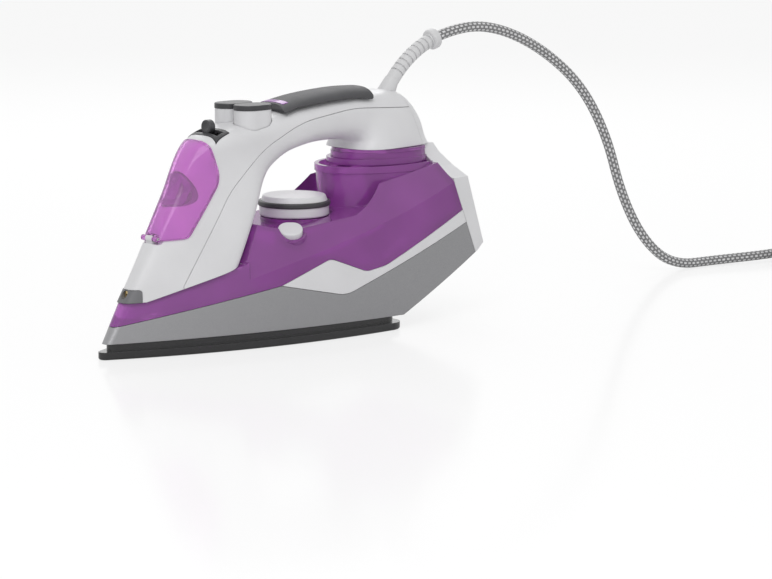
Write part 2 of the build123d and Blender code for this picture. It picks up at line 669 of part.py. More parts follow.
def rear_cover():
    """White back shell below the rear cap, with the flat heel."""
    near = [(-60, 0), (-60, 96), (-43.5, 96), (-31, 103), (-20.5, 111), (-16.5, COLLAR_TOP_Z - SEAM / 2)]
    far = [(-y, z) for y, z in reversed(near)]
    outline = make_face(Polyline(*near, *far, close=True))
    shape = body() & extrude(Plane.YZ * outline, amount=200) & side_slab(BEHIND_COVER, SEAM / 2)
    shape = shape - behind_back() - side_slab(UNDER_HEEL)
    room = body(WALL) & extrude(Plane.YZ * offset(outline, amount=-WALL), amount=200)
    room = room - behind_back(WALL) - Pos(0, 0, WALL) * side_slab(UNDER_HEEL)
    shape = shape - room - block((100, -9, 112), (122, 9, 120))
    for z, y in COVER_SCREWS:
        shape -= screw_plane(z, y) * Cylinder(SCREW_HEAD_RADIUS + 0.2, 2.4)
    return shape


def screw_plane(z, y):
    """Plane on the rear face, its normal pointing backwards."""
    lean = math.atan(BACK_LEAN)
    return Plane(origin=(back_at(z), y, z), x_dir=(0, 1, 0), z_dir=(math.cos(lean), 0, math.sin(lean)))


def rear_cover_screws():
    heads = []
    for z, y in COVER_SCREWS:
        head = screw_plane(z, y) * Pos(0, 0, -0.65) * Cylinder(SCREW_HEAD_RADIUS, 1.1)
        heads.append(head - screw_plane(z, y) * Box(4.2, 0.9, 0.8) - screw_plane(z, y) * Box(0.9, 4.2, 0.8))
    return Compound(children=[solid for head in heads for solid in head.solids()])


def grip_pad():
    pad = (arch(GRIP_RISE, 0, 0.9) & side_slab(GRIP_OUTLINE)) - arch()
    return pad - block((LENS_FRONT_X - 0.1, -LENS_HALF - 0.1, 120), (LENS_REAR_X + 0.1, LENS_HALF + 0.1, 180))


def pilot_lens():
    strip = block((LENS_FRONT_X, -LENS_HALF, 140), (LENS_REAR_X, LENS_HALF, 180))
    return (arch(GRIP_RISE + 0.2, 0, 0.9) & strip) - arch()


def pilot_lamp():
    return upright(LAMP_X, 0, 124.5, 141, LAMP_RADIUS) + Pos(LAMP_X, 0, 141) * Sphere(LAMP_RADIUS)


def push_button(side):
    post = stadium(BUTTON_LENGTH, BUTTON_WIDTH, BUTTON_FOOT_Z, BUTTON_TOP_Z - BUTTON_CAP)
    post -= stadium(BUTTON_LENGTH - 3, BUTTON_WIDTH - 5, BUTTON_FOOT_Z, BUTTON_FOOT_Z + 10)
    piston = upright(PUMP_X - BUTTON_X, 0, 113, BUTTON_FOOT_Z + 11, PISTON_RADIUS)
    return Pos(BUTTON_X, side * BUTTON_Y, 0) * (post + piston)


def button_cap(side):
    cap = stadium(BUTTON_LENGTH + 0.5, BUTTON_WIDTH + 0.5, BUTTON_TOP_Z - BUTTON_CAP, BUTTON_TOP_Z)
    cap = fillet(cap.faces().sort_by(Axis.Z)[-1].edges(), 0.7)
    return Pos(BUTTON_X, side * BUTTON_Y, 0) * cap


def pump(side):
    flange = upright(PUMP_X, side * BUTTON_Y, SHELF_TOP_Z, SHELF_TOP_Z + 2, PUMP_RADIUS + 1.5)
    barrel = upright(PUMP_X, side * BUTTON_Y, PUMP_LOW_Z, PUMP_TOP_Z, PUMP_RADIUS) + flange
    barrel -= upright(PUMP_X, side * BUTTON_Y, PUMP_LOW_Z + 3, PUMP_TOP_Z + 1, PISTON_RADIUS + SHAFT_RUN)
    return barrel + upright(PUMP_X, side * BUTTON_Y, PUMP_LOW_Z - 5, PUMP_LOW_Z, 2.2)


def pump_spring(side, name):
    return spring(PUMP_X, side * BUTTON_Y, PUMP_TOP_Z, BUTTON_FOOT_Z + 9.9, SPRING_COIL_RADIUS, SPRING_WIRE,
                  SPRING_TURNS, name)


def pump_carrier():
    fitted = arch(-SHELL - SEAM, -SHELL - SEAM, -SHELL - SEAM)
    shelf = fitted & block((-100, -40, SHELF_LOW_Z), (0, 40, SHELF_TOP_Z))
    for front_x in (-65.2, -50):
        shelf += block((front_x, -5, SHELF_TOP_Z), (front_x + 3, 5, LEVER_AXIS_Z + 4))
    for side in (-1, 1):
        shelf -= upright(PUMP_X, side * BUTTON_Y, 60, 140, PUMP_RADIUS + 0.1)
    shelf -= along_x(-90, -30, 0, LEVER_AXIS_Z, LEVER_PIN_RADIUS)
    shelf -= upright(LEVER_X, ROD_Y, 60, 140, ROD_RADIUS + RUN)
    return shelf - front_plane(PLUG_X, PLUG_Z) * Cylinder(PLUG_RADIUS + 4, 30)


def lever_pin():
    return along_x(-65.2, -47, 0, LEVER_AXIS_Z, LEVER_PIN_RADIUS)


def steam_lever():
    hub = along_x(LEVER_X - 5, LEVER_X + 5, 0, LEVER_AXIS_Z, 4.2)
    neck = block((LEVER_X - 1.8, -2.2, LEVER_AXIS_Z), (LEVER_X + 1.8, 2.2, LEVER_TAB_Z))
    tab = along_x(LEVER_X - 2.4, LEVER_X + 2.4, 0, LEVER_TAB_Z, LEVER_TAB_RADIUS)
    tab = fillet(tab.edges(), 0.8)
    tab -= Pos(LEVER_X - 8.6, 0, LEVER_TAB_Z + 1) * Sphere(7)
    toe = block((LEVER_X - 2.2, 0, LEVER_AXIS_Z - 5.2), (LEVER_X + 2.2, ROD_Y + 2, LEVER_AXIS_Z))
    return hub + neck + tab + toe - along_x(-80, -30, 0, LEVER_AXIS_Z, LEVER_PIN_RADIUS + SHAFT_RUN)


def slot_plate():
    plate = (arch(0.4, 0, 0.4) & slot_band(0)) - arch(-1.8, 0, -1.8)
    return plate - block((LEVER_X - 2.8, -SLOT_REACH, 120), (LEVER_X + 2.8, SLOT_REACH, 170))


def valve_rod():
    return upright(LEVER_X, ROD_Y, ROD_LOW_Z, ROD_TOP_Z, ROD_RADIUS)


def drip_valve():
    seat = upright(LEVER_X, ROD_Y, COVER_TOP_Z, ROD_LOW_Z - 3, 2.6)
    return seat - upright(LEVER_X, ROD_Y, COVER_TOP_Z - 1, ROD_LOW_Z, 1.2)


def filler_door():
    skin = arch(DOOR_PROUD, 0, DOOR_PROUD) & side_slab(DOOR_OUTLINE, SEAM)
    door = skin - arch(DOOR_PROUD - DOOR_THICK, 0, DOOR_PROUD - DOOR_THICK)
    notch = LUG_HALF + SEAM
    notch_top_z = HINGE_Z + KNUCKLE_RADIUS + 0.5
    door -= block((HINGE_X - 20, -notch, HINGE_Z - 9), (HINGE_X + 6, notch, notch_top_z))
    for low_y in (notch, -notch - KNUCKLE_LENGTH):
        door += along_y(HINGE_X, low_y, low_y + KNUCKLE_LENGTH, HINGE_Z, KNUCKLE_RADIUS)
    return door - along_y(HINGE_X, -30, 30, HINGE_Z, HINGE_PIN_RADIUS + SHAFT_RUN)


def door_pin():
    half = LUG_HALF + SEAM + KNUCKLE_LENGTH
    return along_y(HINGE_X, -half, half, HINGE_Z, HINGE_PIN_RADIUS)


def filler_plug(door):
    plug = front_plane(PLUG_X, PLUG_Z) * Pos(0, 0, -1) * Cylinder(PLUG_RADIUS, 8)
    ring = front_plane(PLUG_X, PLUG_Z) * Pos(0, 0, -3) * Cylinder(PLUG_RADIUS - 3, 6)
    inside = arch(DOOR_PROUD - DOOR_THICK, 0, DOOR_PROUD - DOOR_THICK)
    return (plug & inside) - ring - door


def inlet_cup():
    base = front_plane(PLUG_X, PLUG_Z)
    cup = base * Pos(0, 0, -9) * Cylinder(PLUG_RADIUS + 3, 10)
    cup -= base * Pos(0, 0, -7) * Cylinder(PLUG_RADIUS + 1.4, 10)
    cup -= base * Pos(0, 0, -10) * Cylinder(5, 20)
    return cup & arch(-SHELL - SEAM, -SHELL - SEAM, -SHELL - SEAM)


def spray_nozzle():
    nose = arch(0.4, 0, 0.4) & side_slab(NOZZLE_OUTLINE, SEAM / 2)
    nose -= along_x(-150, -121, 0, NOZZLE_Z, 2.6)
    return nose - along_x(-150, -100, 0, NOZZLE_Z, 1.4)


def nozzle_jet():
    jet = along_x(-124.0, -121, 0, NOZZLE_Z, 2.2) + along_x(-123, -110, 0, NOZZLE_Z, 1.4)
    return jet - along_x(-130, -122, 0, NOZZLE_Z, 0.5)


def dial_skirt():
    base = upright(DIAL_X, 0, DIAL_SEAT_Z + 0.5, 83, DIAL_RADIUS - 0.6)
    base = fillet(base.faces().sort_by(Axis.Z)[0].edges(), 1.2)
    return base - upright(DIAL_X, 0, 60, 81, SHAFT_RADIUS)


def dial_ring():
    ring = upright(DIAL_X, 0, 83, 86.4, DIAL_RADIUS + 0.4)
    ring = fillet(ring.edges(), 1.0)
    return ring - upright(DIAL_X, 0, 82, 88, DIAL_RADIUS - 3.4)


def dial_cap():
    cap = upright(DIAL_X, 0, 83, 88.6, DIAL_RADIUS - 3.4)
    bottom = (Align.CENTER, Align.CENTER, Align.MIN)
    cap += Pos(DIAL_X, 0, 86.4) * Cone(DIAL_RADIUS - 1.6, DIAL_RADIUS - 3, 3.6, align=bottom)
    return fillet(cap.faces().sort_by(Axis.Z)[-1].edges(), 1.2)


def dial_shaft():
    return upright(DIAL_X, 0, 31 + SEAM, 81, SHAFT_RADIUS)


def clean_button():
    button = stadium(CLEAN_LENGTH, CLEAN_WIDTH, -CLEAN_DEPTH, CLEAN_RISE)
    button = fillet(button.faces().sort_by(Axis.Z)[-1].edges(), 0.9)
    return clean_plane() * button


def clean_spring():
    coil = spring(0, 0, -9, -CLEAN_DEPTH, 4.5, 0.4, 2, "clean_spring")
    return clean_plane() * coil


def sleeve_path():
    return ThreePointArc(SLEEVE_START, SLEEVE_MID, SLEEVE_END)


def cord_sleeve():
    path = sleeve_path()
    start = Plane(origin=path @ 0, z_dir=path % 0)
    sleeve = sweep(start * Circle(SLEEVE_RADIUS), path=path)
    bottom = (Align.CENTER, Align.CENTER, Align.MIN)
    sleeve += start * Pos(0, 0, -3) * Cone(SLEEVE_FOOT_RADIUS, SLEEVE_RADIUS, 13, align=bottom)
    end = Plane(origin=path @ 1, z_dir=path % 1)
    bead = fillet((Pos(0, 0, -3) * Cylinder(BEAD_RADIUS, 6)).edges(), 1.6)
    sleeve += end * bead
    for step in range(SLEEVE_GROOVES):
        share = 0.27 + 0.6 * step / (SLEEVE_GROOVES - 1)
        place = Plane(origin=path @ share, z_dir=path % share)
        sleeve -= place * (Cylinder(SLEEVE_RADIUS + 3, 1.1) - Cylinder(SLEEVE_RADIUS - 0.8, 1.1))
    return sleeve


def swivel_ball(sleeve):
    return Pos(SWIVEL_X, 0, BALL_Z) * Sphere(BALL_RADIUS) - sleeve


def terminal_block():
    case = block((70, -11, COLLAR_TOP_Z - SEAM / 2), (88, 11, 128))
    for y in (-6, 0, 6):
        case -= upright(84, y, 124, 129, 1.8)
    return case


def cord_clamp():
    return block((71, -10, 128), (80, 10, 133))


def supply_wires():
    wires = []
    for y in (-6, 0, 6):
        route = [(88.2, y, 123), (104, y, 124), (117.5, y, 116), (124, y, 95), (131, y, 72), (108, y, 50),
                 (80, y, 38), (54, y, 27), (30.3, y, 24)]
        wires.append(tube(route, 1.2, "supply_wire"))
    return Compound(children=[solid for wire in wires for solid in wire.solids()])


def spray_hose():
    route = [(PUMP_X, -BUTTON_Y, PUMP_LOW_Z - 5), (PUMP_X - 11, -BUTTON_Y, 84), (-60, -8, 66),
             (-88, -3, 50), (-109.5, 0, NOZZLE_Z)]
    return tube(route, 1.9, "spray_hose") - pump(-1) - nozzle_jet()


def steam_hose():
    route = [(PUMP_X, BUTTON_Y, PUMP_LOW_Z - 5), (PUMP_X - 11, BUTTON_Y, 84), (-53, 11, 71),
             (-62, 12, 62), (-68, 12, 52)]
    return tube(route, 1.9, "steam_hose") - pump(1)


def coil_path():
    """Points and directions every quarter turn of the put-away cord, with its straight ends."""
    quarters_in = int(4 * COIL_TURNS_IN)
    quarters_out = int(4 * COIL_TURNS_OUT)
    points = []
    tangents = []
    for quarter in range(quarters_in + 2 + quarters_out + 1):
        turns = quarter / 4
        climb = min(max((quarter - quarters_in) / 2, 0), 1)
        inward = min(turns, COIL_TURNS_IN)
        outward = max(turns - COIL_TURNS_IN - 0.5, 0)
        radius = COIL_OUTER - COIL_PITCH * (inward - outward)
        if quarter == quarters_in + 1:
            radius -= COIL_DIP
        angle = math.pi / 2 - 2 * math.pi * turns
        points.append((COIL_CENTRE[0] + radius * math.cos(angle), COIL_CENTRE[1] + radius * math.sin(angle),
                       COIL_LOW_Z + COIL_LAYER * climb))
        growth = 0.0
        if 0 < quarter < quarters_in:
            growth = -COIL_PITCH / (2 * math.pi * radius)
        if quarters_in + 2 < quarter < quarters_in + 2 + quarters_out:
            growth = COIL_PITCH / (2 * math.pi * radius)
        rise = COIL_LAYER / (math.pi * radius) * 1.4 if quarter == quarters_in + 1 else 0.0
        ahead_x = math.sin(angle) + growth * math.cos(angle)
        ahead_y = -math.cos(angle) + growth * math.sin(angle)
        tangents.append((ahead_x, ahead_y, rise))
    return points, tangents


def cord_coil():
    points, tangents = coil_path()
    first = (points[0][0] - COIL_STRAIGHT, points[0][1], points[0][2])
    last = (points[-1][0] - TAIL_LENGTH, points[-1][1], points[-1][2])
    return wound([first] + points + [last], [(1, 0, 0)] + tangents + [(-1, 0, 0)], CORD_RADIUS, "cord_coil")


def cord_tie():
    inner_r = COIL_OUTER - COIL_PITCH * COIL_TURNS_IN - 2.0
    outer_r = COIL_OUTER + 1.6
    low_x = COIL_CENTRE[0] + inner_r
    high_x = COIL_CENTRE[0] + outer_r
    low_z = COIL_LOW_Z - CORD_RADIUS - 0.1
    high_z = COIL_LOW_Z + COIL_LAYER + CORD_RADIUS + 0.2
    y = COIL_CENTRE[1]
    band = block((low_x - TIE_THICK, y - TIE_WIDTH / 2, low_z - TIE_THICK),
                 (high_x + TIE_THICK, y + TIE_WIDTH / 2, high_z + TIE_THICK))
    return band - block((low_x, y - TIE_WIDTH, low_z), (high_x, y + TIE_WIDTH, high_z))


def plug_place():
    last = coil_path()[0][-1]
    return last[0] - TAIL_LENGTH, last[1], last[2]


def plug_body():
    x, y, z = plug_place()
    long, wide, high = PLUG_BODY
    shell = block((x - long, y - wide / 2, z - high / 2), (x - 8, y + wide / 2, z + high / 2))
    shell = fillet(shell.edges().filter_by(Axis.X), 9)
    shell = fillet(shell.faces().sort_by(Axis.X)[-1].edges(), 5)
    neck = along_x(x - 12, x, y, z, 6)
    for side in (-1, 1):
        shell -= along_x(x - long - 1, x - long + 8, y + side * PLUG_PIN_SPREAD / 2, z, PLUG_PIN_RADIUS)
    return shell + neck


def plug_pins():
    x, y, z = plug_place()
    pins = []
    for side in (-1, 1):
        face_x = x - PLUG_BODY[0]
        pin_y = y + side * PLUG_PIN_SPREAD / 2
        pin = along_x(face_x - PLUG_PIN_LENGTH, face_x + 8, pin_y, z, PLUG_PIN_RADIUS)
        pins.append(fillet(pin.edges().sort_by(Axis.X)[0], 1.2))
    return Compound(children=[solid for pin in pins for solid in pin.solids()])


def build_parts():
    """Every piece under its own name."""
    heater = heating_element()
    top, lower, cap = handle_shells()
    door = filler_door()
    sleeve = cord_sleeve()
    return {
        "soleplate": soleplate(),
        "sole_casting": sole_casting(heater),
        "heating_element": heater,
        "chamber_cover": chamber_cover(),
        "thermostat": thermostat(),
        "thermal_fuse": thermal_fuse(),
        "casting_screws": casting_screws(),
        "skirt": skirt(),
        "side_trims": side_trims(),
        "water_tank": water_tank(),
        "tank_floor": floor_plate(),
        "handle_top_cover": top,
        "handle_lower_shell": lower,
        "rear_cap": cap,
        "rear_cover": rear_cover(),
        "rear_cover_screws": rear_cover_screws(),
        "grip_pad": grip_pad(),
        "pilot_lens": pilot_lens(),
        "pilot_lamp": pilot_lamp(),
        "spray_button": push_button(-1),
        "spray_button_cap": button_cap(-1),
        "spray_pump": pump(-1),
        "spray_spring": pump_spring(-1, "spray_spring"),
        "steam_button": push_button(1),
        "steam_button_cap": button_cap(1),
        "steam_pump": pump(1),
        "steam_spring": pump_spring(1, "steam_spring"),
        "pump_carrier": pump_carrier(),
        "spray_hose": spray_hose(),
        "steam_hose": steam_hose(),
        "steam_lever": steam_lever(),
        "lever_pin": lever_pin(),
        "slot_plate": slot_plate(),
        "valve_rod": valve_rod(),
        "drip_valve": drip_valve(),
        "filler_door": door,
        "door_pin": door_pin(),
        "filler_plug": filler_plug(door),
        "inlet_cup": inlet_cup(),
        "spray_nozzle": spray_nozzle(),
        "nozzle_jet": nozzle_jet(),
        "dial_skirt": dial_skirt(),
        "dial_ring": dial_ring(),
        "dial_cap": dial_cap(),
        "dial_shaft": dial_shaft(),
        "clean_button": clean_button(),
        "clean_spring": clean_spring(),
        "cord_sleeve": sleeve,
        "swivel_ball": swivel_ball(sleeve),
        "terminal_block": terminal_block(),
        "cord_clamp": cord_clamp(),
        "supply_wires": supply_wires(),
        "cord_lead": tube(CORD_ROUTE, CORD_RADIUS, "cord_lead") - sleeve,
        "cord_coil": cord_coil(),
        "cord_tie": cord_tie(),
        "plug_body": plug_body(),
        "plug_pins": plug_pins(),
    }


if __name__ == "__main__":
    os.makedirs("parts", exist_ok=True)
    for name, shape in build_parts().items():
        print(name, [round(solid.volume, 1) for solid in shape.solids()], shape.is_valid)
        export_step(shape, f"parts/{name}.step")
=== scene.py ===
"""Steam iron on a pale studio floor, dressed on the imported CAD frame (metres)."""
import bpy
import bmesh
import json
import math
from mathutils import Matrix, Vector


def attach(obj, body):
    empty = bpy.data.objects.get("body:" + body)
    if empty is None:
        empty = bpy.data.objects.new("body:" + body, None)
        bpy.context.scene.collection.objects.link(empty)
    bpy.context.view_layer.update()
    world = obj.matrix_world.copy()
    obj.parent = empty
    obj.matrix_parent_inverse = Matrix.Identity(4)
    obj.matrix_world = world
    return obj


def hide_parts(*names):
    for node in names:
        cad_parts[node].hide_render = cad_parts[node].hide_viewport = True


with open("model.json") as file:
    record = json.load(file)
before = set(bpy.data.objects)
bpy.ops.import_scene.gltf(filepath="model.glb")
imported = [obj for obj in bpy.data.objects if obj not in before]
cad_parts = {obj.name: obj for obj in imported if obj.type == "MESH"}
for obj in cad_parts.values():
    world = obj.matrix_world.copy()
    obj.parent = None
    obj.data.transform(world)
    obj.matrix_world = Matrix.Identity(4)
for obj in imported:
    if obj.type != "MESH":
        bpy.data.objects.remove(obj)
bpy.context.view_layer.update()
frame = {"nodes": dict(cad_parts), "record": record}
nodes = frame["nodes"]
scene = bpy.context.scene

# Camera, as fitted to the photograph
IMAGE_WIDTH = 772
CAMERA_TARGET = Vector((0.0982, 0.0, 0.0168))
CAMERA_AZIMUTH = math.radians(-42.78)
CAMERA_ELEVATION = math.radians(9.64)
CAMERA_DISTANCE = 2.0
CAMERA_REACH = 20.0
FOCAL_PIXELS = 2936.3
SENSOR_WIDTH = 36.0

# Cord: the same route as the CAD tube, then the coil by formula
CORD_DIAMETER = 0.007
CORD_EXIT = (0.1440, 0.0, 0.1859)
CORD_ROUTE = [CORD_EXIT, (0.167, 0.0, 0.1923), (0.203, 0.0, 0.190), (0.246, 0.0, 0.1735),
              (0.287, -0.001, 0.145), (0.314, -0.002, 0.106), (0.329, -0.003, 0.062), (0.351, -0.005, 0.026),
              (0.381, -0.008, 0.0035), (0.424, -0.013, 0.0035), (0.462, -0.0255, 0.0045),
              (0.494, -0.0255, 0.0045)]
COIL_CENTRE = (0.501, -0.075)
COIL_LOW_Z = 0.0045
COIL_LAYER = 0.008
COIL_PITCH = 0.0084
COIL_OUTER = 0.0495
COIL_TURNS_IN = 2.5
COIL_TURNS_OUT = 2.5
COIL_DIP = 0.0015
POINTS_PER_TURN = 12
TAIL_LENGTH = 0.058
TAIL_BEND_SHARE = 0.35
CORD_SIDES = 20
SPLINE_STEPS = 10

# Braid of the cord: length of one dash and rows of dashes round it
DASH_LENGTH = 0.0042
DASH_ROWS = 9

# Floor: its own glow whitens it in the picture, the rest is matte paint with a weak mirror
FLOOR_SIZE = 8.0
FLOOR_CENTRE = (0.1, 0, 0)
FLOOR_PAINT = (0.9, 0.9, 0.9)
FLOOR_WHITE = 0.74
FLOOR_GLOW = 1.12
FLOOR_GLOSS = 0.12
FLOOR_GLOSS_ROUGHNESS = 0.14

# Light: the world lights more weakly than it is seen, and two soft lamps (metres, watts)
WORLD_STRENGTH = 0.52
WORLD_SEEN_STRENGTH = 1.0
LAMP_TARGET = (0.0, 0.0, 0.08)
KEY_PLACE = (-0.9, -1.0, 1.5)
KEY_SIZE = (1.2, 1.2)
KEY_POWER = 11.0
REAR_PLACE = (0.9, 1.0, 1.1)
REAR_SIZE = (1.0, 0.7)
REAR_POWER = 5.5


def camera():
    """Camera at the photograph's viewing angle."""
    back = Vector((math.sin(CAMERA_AZIMUTH) * math.cos(CAMERA_ELEVATION),
                   -math.cos(CAMERA_AZIMUTH) * math.cos(CAMERA_ELEVATION),
                   math.sin(CAMERA_ELEVATION)))
    data = bpy.data.cameras.new("camera")
    data.sensor_width = SENSOR_WIDTH
    data.lens = FOCAL_PIXELS * SENSOR_WIDTH / IMAGE_WIDTH
    data.clip_end = CAMERA_REACH
    eye = bpy.data.objects.new("camera", data)
    eye.location = CAMERA_TARGET + back * CAMERA_DISTANCE
    eye.rotation_euler = back.to_track_quat("Z", "Y").to_euler()
    scene.collection.objects.link(eye)
    scene.camera = eye


def coil_points():
    """Control points of the put-away coil: in below, half a turn up, out above."""
    steps_in = int(POINTS_PER_TURN * COIL_TURNS_IN)
    steps_up = POINTS_PER_TURN // 2
    steps_out = int(POINTS_PER_TURN * COIL_TURNS_OUT)
    # A quadratic spline runs inside its control points, so they stand this much further out
    widen = 1 / (0.75 + 0.25 * math.cos(2 * math.pi / POINTS_PER_TURN))
    points = []
    for step in range(1, steps_in + steps_up + steps_out + 1):
        turns = step / POINTS_PER_TURN
        climb = min(max((step - steps_in) / steps_up, 0.0), 1.0)
        inward = min(turns, COIL_TURNS_IN)
        outward = max(turns - COIL_TURNS_IN - 0.5, 0.0)
        radius = COIL_OUTER - COIL_PITCH * (inward - outward) - COIL_DIP * math.sin(math.pi * climb)
        angle = math.pi / 2 - 2 * math.pi * turns
        height = COIL_LOW_Z + COIL_LAYER * (0.5 - 0.5 * math.cos(math.pi * climb))
        points.append((COIL_CENTRE[0] + widen * radius * math.cos(angle),
                       COIL_CENTRE[1] + widen * radius * math.sin(angle), height))
    last = points[-1]
    points.append((last[0] - TAIL_LENGTH * TAIL_BEND_SHARE, last[1], last[2]))
    points.append((COIL_CENTRE[0] - TAIL_LENGTH, COIL_CENTRE[1] - COIL_OUTER, last[2]))
    return points


def spline_points(name, controls):
    """Points along the NURBS spline with these control points."""
    curve = bpy.data.curves.new(name, "CURVE")
    curve.dimensions = "3D"
    curve.resolution_u = SPLINE_STEPS
    spline = curve.splines.new("NURBS")
    spline.points.add(len(controls) - 1)
    for point, place in zip(spline.points, controls):
        point.co = (*place, 1.0)
    spline.order_u = 3
    spline.use_endpoint_u = True
    guide = bpy.data.objects.new(name, curve)
    line = bpy.data.meshes.new_from_object(guide)
    places = [vertex.co.copy() for vertex in line.vertices]
    bpy.data.objects.remove(guide)
    bpy.data.curves.remove(curve)
    bpy.data.meshes.remove(line)
    return places


def tube_mesh(name, places, radius, sides):
    """Round tube along the places, with its length in metres and its turn as UVs."""
    mesh = bpy.data.meshes.new(name)
    form = bmesh.new()
    weave = form.loops.layers.uv.new("weave")
    side = Vector((0, 1, 0))
    travelled = 0.0
    rings = []
    lengths = []
    for index, place in enumerate(places):
        before = places[max(index - 1, 0)]
        after = places[min(index + 1, len(places) - 1)]
        travelled += (place - before).length
        ahead = (after - before).normalized()
        side = (side - ahead * side.dot(ahead)).normalized()
        other = ahead.cross(side)
        ring = []
        for step in range(sides):
            turn = 2 * math.pi * step / sides
            ring.append(form.verts.new(place + (side * math.cos(turn) + other * math.sin(turn)) * radius))
        rings.append(ring)
        lengths.append(travelled)
    for row in range(len(rings) - 1):
        for step in range(sides):
            after = (step + 1) % sides
            face = form.faces.new((rings[row][step], rings[row][after],
                                   rings[row + 1][after], rings[row + 1][step]))
            face.smooth = True
            corners = ((step, row), (step + 1, row), (step + 1, row + 1), (step, row + 1))
            for loop, (around, along) in zip(face.loops, corners):
                loop[weave].uv = (lengths[along], around / sides)
    form.faces.new(list(reversed(rings[0])))
    form.faces.new(rings[-1])
    form.to_mesh(mesh)
    form.free()
    return mesh


def cord(braid):
    """Braided cord from the sleeve to the plug."""
    places = spline_points("cord_guide", CORD_ROUTE + coil_points())
    piece = bpy.data.objects.new("cord", tube_mesh("cord", places, CORD_DIAMETER / 2, CORD_SIDES))
    piece.data.materials.append(braid)
    scene.collection.objects.link(piece)
    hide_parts("cord_lead", "cord_coil")
    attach(piece, "cord")


class Shader:
    """A node material with one Principled surface and short calls to add nodes to it."""

    def __init__(self, name, colour, roughness, **settings):
        self.material = bpy.data.materials.new(name)
        self.material.use_nodes = True
        self.tree = self.material.node_tree
        self.surface = self.tree.nodes["Principled BSDF"]
        self.surface.inputs["Base Color"].default_value = (*colour, 1.0)
        self.surface.inputs["Roughness"].default_value = roughness
        for socket, value in settings.items():
            self.surface.inputs[socket.replace("_", " ")].default_value = value
        self.colour = colour

    def add(self, kind, **settings):
        node = self.tree.nodes.new(kind)
        for key, value in settings.items():
            setattr(node, key, value)
        return node

    def link(self, source, target):
        self.tree.links.new(source, target)

    def noise(self, scale, detail=2.0):
        """Noise in the object's own frame; the scale is in features per metre."""
        place = self.add("ShaderNodeTexCoord")
        noise = self.add("ShaderNodeTexNoise")
        noise.inputs["Scale"].default_value = scale
        noise.inputs["Detail"].default_value = detail
        self.link(place.outputs["Object"], noise.inputs["Vector"])
        return noise.outputs["Fac"]

    def vary_colour(self, factor, low, high):
        """Base colour swings between two shades of itself with the factor."""
        ramp = self.add("ShaderNodeValToRGB")
        ramp.color_ramp.elements[0].position = 0.35
        ramp.color_ramp.elements[1].position = 0.65
        ramp.color_ramp.elements[0].color = (*(part * low for part in self.colour), 1.0)
        ramp.color_ramp.elements[1].color = (*(min(part * high, 1.0) for part in self.colour), 1.0)
        self.link(factor, ramp.inputs["Fac"])
        self.link(ramp.outputs["Color"], self.surface.inputs["Base Color"])

    def vary_roughness(self, factor, low, high):
        spread = self.add("ShaderNodeMapRange")
        spread.inputs["To Min"].default_value = low
        spread.inputs["To Max"].default_value = high
        self.link(factor, spread.inputs["Value"])
        self.link(spread.outputs["Result"], self.surface.inputs["Roughness"])

    def relief(self, height, depth, edge=0.0):
        """Bump of that depth in metres over softened edges of that radius."""
        bump = self.add("ShaderNodeBump")
        bump.inputs["Distance"].default_value = depth
        self.link(height, bump.inputs["Height"])
        if edge:
            bevel = self.add("ShaderNodeBevel", samples=4)
            bevel.inputs["Radius"].default_value = edge
            self.link(bevel.outputs["Normal"], bump.inputs["Normal"])
        self.link(bump.outputs["Normal"], self.surface.inputs["Normal"])


def moulded(name, colour, roughness, grain=2600.0, depth=0.00002, edge=0.0005, swing=0.02, **settings):
    """Moulded plastic: faint colour drift, fine grain, soft edges."""
    shade = Shader(name, colour, roughness, **settings)
    shade.vary_colour(shade.noise(35.0), 1 - swing, 1 + swing)
    shade.vary_roughness(shade.noise(240.0), roughness - 0.04, roughness + 0.06)
    shade.relief(shade.noise(grain), depth, edge)
    return shade.material


def tinted(name, colour, roughness, clear=0.8):
    """Clear tinted plastic: light passes, with slow flow marks from the mould."""
    shade = Shader(name, colour, roughness, IOR=1.46, Transmission_Weight=clear)
    shade.vary_colour(shade.noise(22.0), 0.93, 1.05)
    shade.vary_roughness(shade.noise(120.0), roughness, roughness + 0.05)
    shade.relief(shade.noise(60.0, 0.0), 0.00008, 0.0005)
    return shade.material


def metallic_paint(name, colour, roughness):
    """Satin metallic lacquer with fine flakes."""
    shade = Shader(name, colour, roughness, Metallic=0.85, Coat_Weight=0.25, Coat_Roughness=0.2)
    shade.vary_colour(shade.noise(5200.0, 1.0), 0.86, 1.12)
    shade.vary_roughness(shade.noise(90.0), roughness - 0.03, roughness + 0.05)
    shade.relief(shade.noise(3800.0, 1.0), 0.000012, 0.0005)
    return shade.material


def bare_metal(name, colour, roughness):
    """Plain metal with turning marks."""
    shade = Shader(name, colour, roughness, Metallic=1.0)
    shade.vary_colour(shade.noise(300.0), 0.9, 1.06)
    shade.vary_roughness(shade.noise(900.0), roughness - 0.06, roughness + 0.08)
    shade.relief(shade.noise(2500.0), 0.00001)
    return shade.material


def coated_sole(name, colour):
    """Black glossy coating with a faint sparkle and fine wear in its gloss."""
    shade = Shader(name, colour, 0.16, Coat_Weight=0.6, Coat_Roughness=0.06)
    shade.vary_colour(shade.noise(4200.0, 1.0), 0.6, 1.8)
    shade.vary_roughness(shade.noise(160.0, 4.0), 0.12, 0.26)
    shade.relief(shade.noise(1500.0), 0.000008, 0.0006)
    return shade.material


